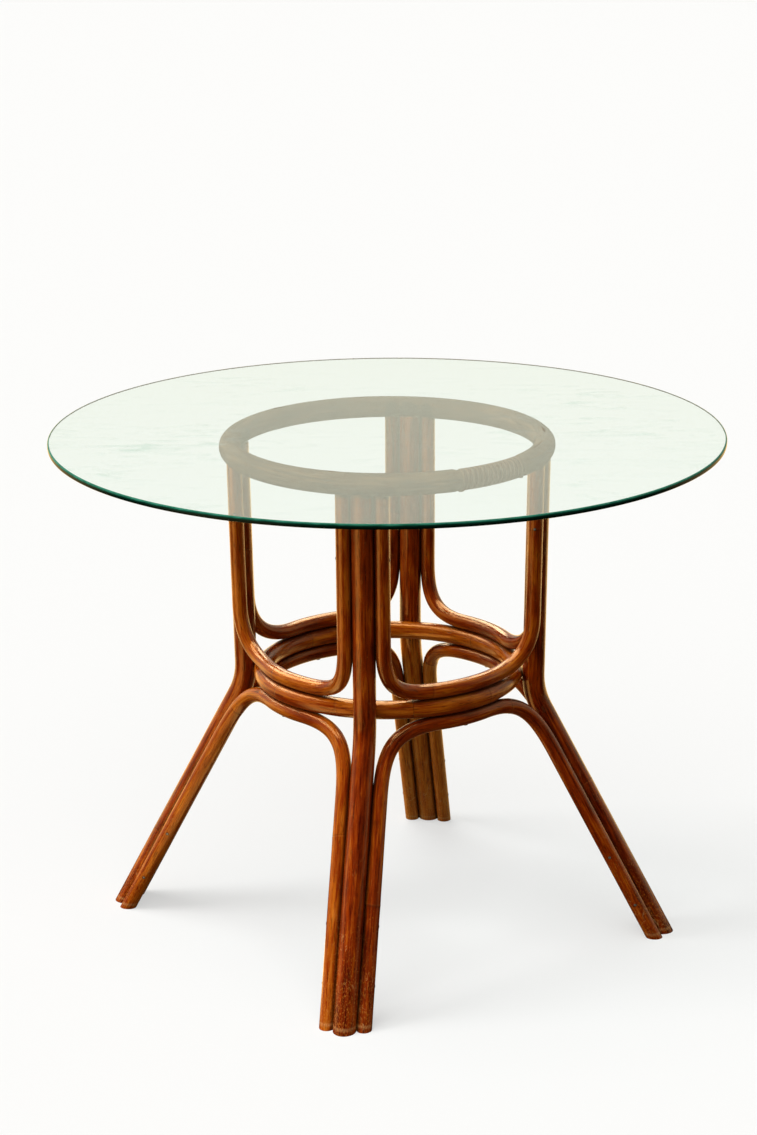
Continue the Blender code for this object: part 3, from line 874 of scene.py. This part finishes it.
def stained_rattan(name, stops, lightness, gloss):
    """Stained, lacquered cane: fibres, pores, tone that changes at the nodes (on some seen canes painted
    light and shade), crevices darkened by painted shade and dirt, worn feet.
    """
    look = Finish(name)
    straight = look.attribute("straight_cane").outputs["Vector"]
    lip, groove, tone = look.parts(look.attribute("cane_marks").outputs["Vector"])
    crevice = look.attribute("crevice").outputs["Fac"]
    height = look.parts(look.place())[2]

    fibres = look.grain(straight, FIBRES, 3, 0.6)
    streaks = look.grain(straight, STREAKS, 3, 0.6)
    bands = look.grain(straight, BANDS, 2, 0.5)
    pores = look.between(look.grain(straight, PORES, 2, 0.5), 0.60, 0.68)

    # The tone of each length feeds the stain; on some seen canes it carries painted light, and on one
    # painted shade.
    shade = look.sum(lightness - 0.97, tone, 0.40)
    shade = look.sum(shade, bands, 0.95)
    shade = look.sum(shade, streaks, 1.15)
    shade = look.sum(shade, fibres, 0.45)
    colour = look.ramp(shade, stops)
    colour = look.blend(look.times(pores, 0.55), colour, PORE_DARK)
    colour = look.blend(look.times(groove, 0.35), colour, GROOVE_DARK)
    colour = look.blend(look.times(lip, 0.08), colour, RUBBED_RIDGE)
    # Painted shade and dirt: the crevices beside other canes are darkened towards near-black, and made
    # rougher.
    hidden = look.between(crevice, 0.08, 0.75, 0.0, 0.78)
    colour = look.blend(hidden, colour, CREVICE_SHADE_AND_DIRT)

    # Wear: pale flecks and hairline scuffs that grow denser towards the floor
    low = look.between(height, 0.0, FLECKED_HEIGHT, 1.0, 0.0)
    grain = look.grain(straight, WORN_GRAIN, 3, 0.65)
    flecks = look.between(look.sum(grain, low, 0.13), 0.60, 0.82)
    wander = look.maths("SUBTRACT", look.grain(straight, SCRATCHES, 1, 0.5, 1.2), 0.5)
    hairline = look.between(look.maths("ABSOLUTE", wander), 0.0, 0.014, 1.0, 0.0)
    rubbed = look.between(look.speckle(straight, 26, 1), 0.50, 0.60)
    scuffs = look.times(look.times(hairline, rubbed), look.between(height, *SCUFFED_HEIGHTS, 0.9, 0.1))
    below, at_edge, above = FOOT_EDGE_HEIGHTS
    edge = look.times(look.between(height, at_edge, above, 1.0, 0.0), look.between(height, below, at_edge))
    scraped = look.maths("MAXIMUM", scuffs, look.times(edge, grain))
    colour = look.blend(look.times(flecks, 0.55), colour, WORN_FLECK)
    colour = look.blend(look.times(scraped, 0.60), colour, SCRAPED_CANE)
    wear = look.maths("MAXIMUM", flecks, scraped)

    rough = look.sum(0.05, streaks, 0.15)
    rough = look.sum(rough, wear, 0.25)
    rough = look.sum(rough, hidden, 0.5)
    relief = look.sum(look.times(fibres, 0.6), pores, -0.7)
    relief = look.sum(relief, bands, 1.0)
    relief = look.sum(relief, wear, -0.1)
    look.set(Base_Color=colour, Roughness=rough, Normal=look.bump(relief, 0.35, CANE_RELIEF),
             Specular_IOR_Level=gloss, Specular_Tint=(*LACQUER_TINT, 1))
    return look.material


def bound_peel(name):
    """Flat rattan peel: the cane's skin with fine lengthwise lines, and a painted highlight that makes each
    turn pale along its edges.
    """
    look = Finish(name)
    straight = look.attribute("straight_cane").outputs["Vector"]
    lines = look.grain(straight, PEEL_LINES, 2, 0.5)
    stain = look.speckle(straight, 55, 3, 0.6)
    shade = look.sum(look.times(lines, 0.4), stain, 0.8)
    colour = look.ramp(shade, PEEL_STAIN)
    # Painted highlight: the rubbed mask below lightens each turn of peel towards its edges; it is no wear.
    across = look.maths("ABSOLUTE", look.parts(straight)[0])
    rubbed = look.between(across, PEEL_WIDTH * 0.30, PEEL_WIDTH * 0.48)
    colour = look.blend(look.times(rubbed, 0.7), colour, PEEL_EDGE_HIGHLIGHT)
    look.set(Base_Color=colour, Roughness=look.sum(0.25, lines, 0.3),
             Normal=look.bump(lines, 0.3, PEEL_RELIEF), Specular_IOR_Level=0.0)
    return look.material


def nail_steel(name, polish):
    """Wire-nail steel, stained over with the canes and more or less rubbed bright on the crown."""
    look = Finish(name)
    spots = look.speckle(look.place(), 900, 3, 0.6)
    crown = look.attribute("crown").outputs["Fac"]
    bare = look.times(look.between(look.sum(crown, spots, 0.5), 0.55, 0.75), polish)
    colour = look.blend(bare, look.ramp(spots, TARNISH), BARE_STEEL)
    look.set(Base_Color=colour, Metallic=bare, Roughness=look.sum(0.25, spots, 0.3),
             Normal=look.bump(spots, 0.15, STEEL_RELIEF))
    return look.material


def clear_glass(name):
    """Float glass: green in its depth, with faint wiping marks. Light for the canes passes it unbent."""
    look = Finish(name)
    place = look.place()
    turning = {"Vector": place, "Rotation": (0, 0, -VIEW_TURN)}
    turned_place = look.add("ShaderNodeMapping", turning).outputs[0]
    marks = look.speckle(look.scaled(turned_place, WIPING_SCALE), 1, 4, 0.65, 1.2)
    patches = look.between(look.speckle(look.scaled(place, (1, 1, 0)), WIPING_PATCH_SCALE, 2), 0.42, 0.62)
    aside = look.maths("ABSOLUTE", look.along(place, VIEW_LEFT))
    handled = look.times(look.between(aside, *WIPED_FROM_MIDDLE, 0.25, 1.0), look.sum(0.15, patches, 0.85))
    film = look.times(look.between(marks, 0.50, 0.74), handled)
    colour = look.blend(film, GLASS_FACE, GLASS_FILM)
    look.set(Base_Color=colour, Roughness=0.0, IOR=GLASS_IOR,
             Transmission_Weight=look.sum(1.0, film, -0.16))
    from_lamp = look.add("ShaderNodeLightPath").outputs["Is Shadow Ray"]
    passed = look.add("ShaderNodeBsdfTransparent", {"Color": (1, 1, 1, 1)}).outputs[0]
    mixed = look.add("ShaderNodeMixShader", {0: from_lamp, 1: look.shader.outputs[0], 2: passed}).outputs[0]
    look.put(mixed, look.output.inputs["Surface"])
    depth = look.add("ShaderNodeVolumeAbsorption", {"Color": (*GLASS_DEPTH, 1), "Density": GLASS_DENSITY})
    look.put(depth.outputs[0], look.output.inputs["Volume"])
    return look.material


def polished_rim(name):
    """The disc's edge, where the eye looks along the glass: deep green, with a painted highlight that makes
    it lighter at its upper arris.
    """
    look = Finish(name)
    height = look.parts(look.place())[2]
    ripple = look.speckle(look.scaled(look.place(), (1, 1, 6)), 60, 2, 0.5)
    # Painted highlight: the green grows lighter from the lower to the upper arris.
    level = look.between(height, GLASS_BOTTOM, TABLE_HEIGHT)
    colour = look.ramp(look.sum(level, look.maths("SUBTRACT", ripple, 0.5), 0.4), RIM_GREEN_AND_HIGHLIGHT)
    look.set(Base_Color=colour, Roughness=look.between(ripple, 0.3, 0.7, 0.03, 0.10),
             Specular_IOR_Level=0.02)
    return look.material


# Studio

def white_floor(name):
    """White that takes shadows, glows to the eye without lighting, and mirrors darker in front."""
    look = Finish(name)
    rays = look.add("ShaderNodeLightPath").outputs
    soft = look.maths("MINIMUM", rays["Diffuse Depth"], 1.0)
    mirrored = look.maths("GREATER_THAN", rays["Is Glossy Ray"], rays["Is Transmission Ray"])
    behind = look.along(look.place(), VIEW_AHEAD)
    left = look.along(look.place(), VIEW_LEFT)
    shaded = look.blend(soft, tuple(part * (1 - FLOOR_GLOW) for part in FLOOR_WHITE), FLOOR_BOUNCE)
    shaded = look.blend(mirrored, shaded, (0.0, 0.0, 0.0))
    shown = look.between(behind, *FLOOR_GLOSS_CHANGE, FRONT_GLOSS, BACK_FLOOR_GLOSS)
    turn = look.maths("ARCTAN2", left, look.times(behind, -1.0))
    window = look.times(look.between(turn, *WINDOW_OPENING), look.between(turn, *WINDOW_CLOSING, 1.0, 0.0))
    shown = look.sum(shown, window, WINDOW_GLOSS)
    glow = look.sum(look.between(soft, 0.0, 1.0, FLOOR_GLOW, 0.0), mirrored, look.sum(shown, -FLOOR_GLOW))
    glow = look.sum(glow, look.maths("GREATER_THAN", rays["Is Transmission Ray"], soft), FLOOR_BEHIND_GLASS)
    seen = look.blend(mirrored, FLOOR_WHITE, GLOSS_WARMTH)
    look.set(Base_Color=shaded, Roughness=0.9, Specular_IOR_Level=0.0, Emission_Color=seen,
             Emission_Strength=glow)
    return look.material


def floor():
    """The floor that the table stands on, staged and no part of the table."""
    bm = bmesh.new()
    bmesh.ops.create_grid(bm, x_segments=1, y_segments=1, size=FLOOR_REACH)
    mesh = bpy.data.meshes.new("studio_floor")
    bm.to_mesh(mesh)
    bm.free()
    plane = bpy.data.objects.new("studio_floor", mesh)
    bpy.context.scene.collection.objects.link(plane)
    mesh.materials.append(white_floor("white_floor"))
    plane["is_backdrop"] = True


def lamp(name, direction, strength, spread):
    """A sun lamp that shines from a direction of the camera's frame and stays out of gloss and glass."""
    light = bpy.data.lights.new(name, "SUN")
    light.energy = strength
    light.angle = spread
    thing = bpy.data.objects.new(name, light)
    bpy.context.scene.collection.objects.link(thing)
    thing.visible_glossy = False
    thing.visible_transmission = False
    toward = Matrix.Rotation(VIEW_TURN, 3, "Z") @ Vector(direction)
    thing.rotation_euler = toward.to_track_quat("Z", "Y").to_euler()
    return thing


def softbox(canes):
    """A wide warm lamp overhead that only the gloss of the canes shows."""
    thing = lamp("softbox", SOFTBOX_DIRECTION, SOFTBOX_STRENGTH, SOFTBOX_SPREAD)
    thing.data.color = SOFTBOX_WARMTH
    thing.visible_glossy = True
    thing.visible_diffuse = False
    lacquered = bpy.data.collections.new("lacquered_canes")
    for cane in canes:
        lacquered.objects.link(cane)
    thing.light_linking.receiver_collection = lacquered


def white_room():
    """Plain white for eyes and glass, an even lower fill, and for gloss a room that is dark in front."""
    world = bpy.data.worlds.new("white_room")
    world.use_nodes = True
    room = Nodes(world.node_tree)
    rays = room.add("ShaderNodeLightPath").outputs
    way = room.add("ShaderNodeTexCoord").outputs["Generated"]
    gloss = room.between(room.along(way, VIEW_AHEAD), *GLOSS_CHANGE, FRONT_GLOSS, BACK_GLOSS)
    level = room.mix(rays["Is Glossy Ray"], FILL_LEVEL, gloss)
    level = room.mix(rays["Is Transmission Ray"], level, 1.0)
    level = room.mix(rays["Is Camera Ray"], level, 1.0)
    level = room.mix(room.maths("MINIMUM", rays["Diffuse Depth"], 1.0), level, FILL_LEVEL)
    background = room.tree.nodes["Background"]
    room.put((*ROOM_WHITE, 1), background.inputs["Color"])
    room.put(level, background.inputs["Strength"])
    bpy.context.scene.world = world


def camera():
    """The photo's view, from a place and turns that were fitted to the table's outlines."""
    data = bpy.data.cameras.new("camera")
    data.lens = CAMERA_LENS
    data.clip_end = 2 * FLOOR_REACH
    thing = bpy.data.objects.new("camera", data)
    bpy.context.scene.collection.objects.link(thing)
    tilt = Matrix.Rotation(math.pi / 2 - CAMERA_PITCH, 4, "X")
    roll = Matrix.Rotation(CAMERA_ROLL, 4, "Z")
    aim = Matrix.Translation(CAMERA_PLACE) @ Matrix.Rotation(-CAMERA_YAW, 4, "Z") @ tilt @ roll
    thing.matrix_world = Matrix.Rotation(VIEW_TURN, 4, "Z") @ aim
    bpy.context.scene.camera = thing


# Pieces on show

def dress_canes():
    """Ring, hoop, legs and loops."""
    finishes = {name: stained_rattan(name, *finish) for name, finish in CANE_FINISHES.items()}
    canes = all_canes()
    crevice = crevice_finder(canes)
    shown = []
    for cane in canes:
        mesh = cane_mesh(cane, crevice)
        shown.append(show(cane.node + "_cane", mesh, finishes[cane.finish], "base", cane.finish, cane.node))
    return shown


def dress_binding():
    """The peel that is wound round the ring's joint."""
    peel = bound_peel("rattan_peel")
    show("binding_peel", binding_mesh(), peel, "base", "rattan_peel", "top_ring_binding")


def dress_glass():
    """The disc with its rim. The canes mirror the softbox as if the disc weren't there."""
    disc = show("glass_disc", glass_mesh(), clear_glass("clear_glass"), "glass", "glass", "glass_top")
    disc.data.materials.append(polished_rim("polished_rim"))
    disc.visible_glossy = False


def dress_fasteners():
    """Nails and screws, and steel on the hidden pins, which stay as the part has them."""
    steel = nail_steel("nail_steel", NAIL_POLISH)
    rubbed_steel = nail_steel("rubbed_steel", RUBBED_NAIL_POLISH)
    nail = headed_outline(NAIL_SHANK, NAIL_HEAD, NAIL_HEAD_HEIGHT, NAIL_LENGTH)
    screw = headed_outline(SCREW_SHANK, SCREW_HEAD, SCREW_HEAD_HEIGHT, SCREW_LENGTH)
    for outline, places in ((nail, nail_places()), (screw, screw_places())):
        for node, place in places:
            mesh = fastener_mesh(node, outline, place)
            finish = rubbed_steel if node in RUBBED_NAILS else steel
            show(node + "_steel", mesh, finish, "base", "nail_steel", node)
    for node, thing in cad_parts.items():
        if "_pin_" in node:
            thing.data.materials.clear()
            thing.data.materials.append(steel)


shown_canes = dress_canes()
dress_binding()
dress_glass()
dress_fasteners()
floor()
white_room()
lamp("key_light", KEY_DIRECTION, KEY_STRENGTH, KEY_SPREAD)
lamp("side_light", SIDE_DIRECTION, SIDE_STRENGTH, SIDE_SPREAD)
lamp("top_light", TOP_DIRECTION, TOP_STRENGTH, TOP_SPREAD)
softbox(shown_canes)
camera()
bpy.context.scene.view_settings.view_transform = "Standard"

boxes = {"cad": cad_box, "visual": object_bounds()}
{name: [list(corner) for corner in box] for name, box in boxes.items()}
